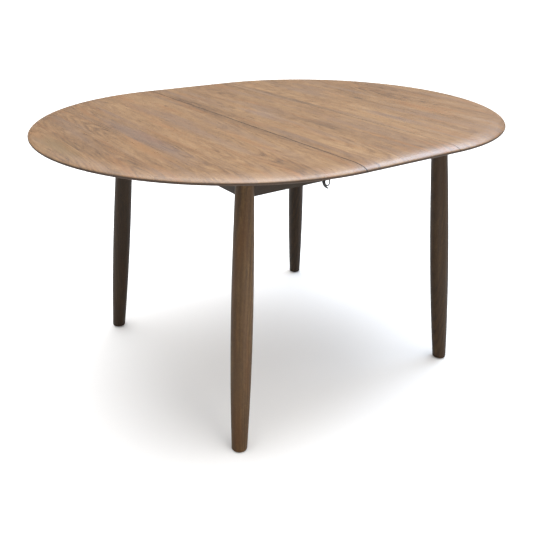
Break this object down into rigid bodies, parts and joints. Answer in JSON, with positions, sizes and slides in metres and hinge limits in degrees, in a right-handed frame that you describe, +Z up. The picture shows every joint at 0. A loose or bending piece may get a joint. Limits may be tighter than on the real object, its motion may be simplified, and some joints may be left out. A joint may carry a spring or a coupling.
{
  "type": "extension dining table",
  "caption": "Round-ended extension dining table: two half tops on wooden slides, a lift-out centre leaf with wire latches, apron frame and turned splayed legs.",
  "frame": {"origin": "on the floor under the middle of the leaf", "axes": "+X along the length, the way the halves slide; +Y across; +Z up"},
  "size_m": [1.3616, 1.06, 0.74],
  "materials": {
    "top_oak": "brown oiled solid oak, satin",
    "leg_oak": "smoked oiled oak, satin",
    "frame_oak": "smoked oiled oak, matt",
    "beech": "plain beech, waxed",
    "black_steel": "black coated steel",
    "zinc": "zinc plated steel",
    "glide_plastic": "black plastic"
  },
  "bodies": {
    "frame": {"apron_back": "frame_oak", "apron_front": "frame_oak", "apron_left": "frame_oak", "apron_right": "frame_oak", "centre_stretcher": "frame_oak", "corner_block_back_left": "beech", "corner_block_back_right": "beech", "corner_block_front_left": "beech", "corner_block_front_right": "beech", "glide_back_left": "glide_plastic", "glide_back_right": "glide_plastic", "glide_front_left": "glide_plastic", "glide_front_right": "glide_plastic", "guide_rail_back": "beech", "guide_rail_front": "beech", "hanger_bolt_back_left": "zinc", "hanger_bolt_back_right": "zinc", "hanger_bolt_front_left": "zinc", "hanger_bolt_front_right": "zinc", "leg_back_left": "leg_oak", "leg_back_right": "leg_oak", "leg_front_left": "leg_oak", "leg_front_right": "leg_oak", "nut_back_left": "zinc", "nut_back_right": "zinc", "nut_front_left": "zinc", "nut_front_right": "zinc"},
    "half_left": {"latch_bracket_left_back": "black_steel", "latch_bracket_left_front": "black_steel", "latch_pin_left_back": "zinc", "latch_pin_left_front": "zinc", "runner_left_back": "beech", "runner_left_front": "beech", "runner_stop_left_back": "beech", "runner_stop_left_front": "beech", "top_half_left": "top_oak"},
    "half_right": {"latch_bracket_right_back": "black_steel", "latch_bracket_right_front": "black_steel", "latch_pin_right_back": "zinc", "latch_pin_right_front": "zinc", "runner_right_back": "beech", "runner_right_front": "beech", "runner_stop_right_back": "beech", "runner_stop_right_front": "beech", "top_half_right": "top_oak"},
    "leaf": {"latch_hook_left_back": "black_steel", "latch_hook_left_front": "black_steel", "latch_hook_right_back": "black_steel", "latch_hook_right_front": "black_steel", "leaf": "top_oak"},
    "bail_left_back": {"latch_bail_left_back": "black_steel"},
    "bail_left_front": {"latch_bail_left_front": "black_steel"},
    "bail_right_back": {"latch_bail_right_back": "black_steel"},
    "bail_right_front": {"latch_bail_right_front": "black_steel"},
    "lever_left_back": {"latch_lever_left_back": "black_steel"},
    "lever_left_front": {"latch_lever_left_front": "black_steel"},
    "lever_right_back": {"latch_lever_right_back": "black_steel"},
    "lever_right_front": {"latch_lever_right_front": "black_steel"}
  },
  "joints": [
    {"name": "half_left_slide", "type": "slide", "parent": "frame", "child": "half_left", "axis": [-1, 0, 0], "range_m": [0, 0.06]},
    {"name": "half_right_slide", "type": "slide", "parent": "frame", "child": "half_right", "axis": [1, 0, 0], "range_m": [0, 0.06]},
    {"name": "leaf_lift", "type": "slide", "parent": "frame", "child": "leaf", "axis": [0, 0, 1], "range_m": [0, 0.15]},
    {"name": "latch_lever_left_front", "type": "hinge", "parent": "half_left", "child": "lever_left_front", "pos_m": [-0.1638, -0.418, 0.703], "axis": [0, 1, 0], "range_deg": [0, 80]},
    {"name": "latch_bail_left_front", "type": "hinge", "parent": "lever_left_front", "child": "bail_left_front", "pos_m": [-0.16595, -0.418, 0.69708], "axis": [0, 1, 0], "range_deg": [-160, 0]},
    {"name": "latch_lever_left_back", "type": "hinge", "parent": "half_left", "child": "lever_left_back", "pos_m": [-0.1638, 0.418, 0.703], "axis": [0, 1, 0], "range_deg": [0, 80]},
    {"name": "latch_bail_left_back", "type": "hinge", "parent": "lever_left_back", "child": "bail_left_back", "pos_m": [-0.16595, 0.418, 0.69708], "axis": [0, 1, 0], "range_deg": [-160, 0]},
    {"name": "latch_lever_right_front", "type": "hinge", "parent": "half_right", "child": "lever_right_front", "pos_m": [0.1638, -0.418, 0.703], "axis": [0, -1, 0], "range_deg": [-80, 0]},
    {"name": "latch_bail_right_front", "type": "hinge", "parent": "lever_right_front", "child": "bail_right_front", "pos_m": [0.17, -0.418, 0.70409], "axis": [0, -1, 0], "range_deg": [0, 160]},
    {"name": "latch_lever_right_back", "type": "hinge", "parent": "half_right", "child": "lever_right_back", "pos_m": [0.1638, 0.418, 0.703], "axis": [0, -1, 0], "range_deg": [-80, 0]},
    {"name": "latch_bail_right_back", "type": "hinge", "parent": "lever_right_back", "child": "bail_right_back", "pos_m": [0.17, 0.418, 0.70409], "axis": [0, -1, 0], "range_deg": [0, 160]}
  ],
  "couplings": [
    {"joint": "latch_bail_left_front", "follows": "latch_lever_left_front", "ratio": -2},
    {"joint": "latch_bail_left_back", "follows": "latch_lever_left_back", "ratio": -2},
    {"joint": "latch_bail_right_front", "follows": "latch_lever_right_front", "ratio": -2},
    {"joint": "latch_bail_right_back", "follows": "latch_lever_right_back", "ratio": -2}
  ]
}
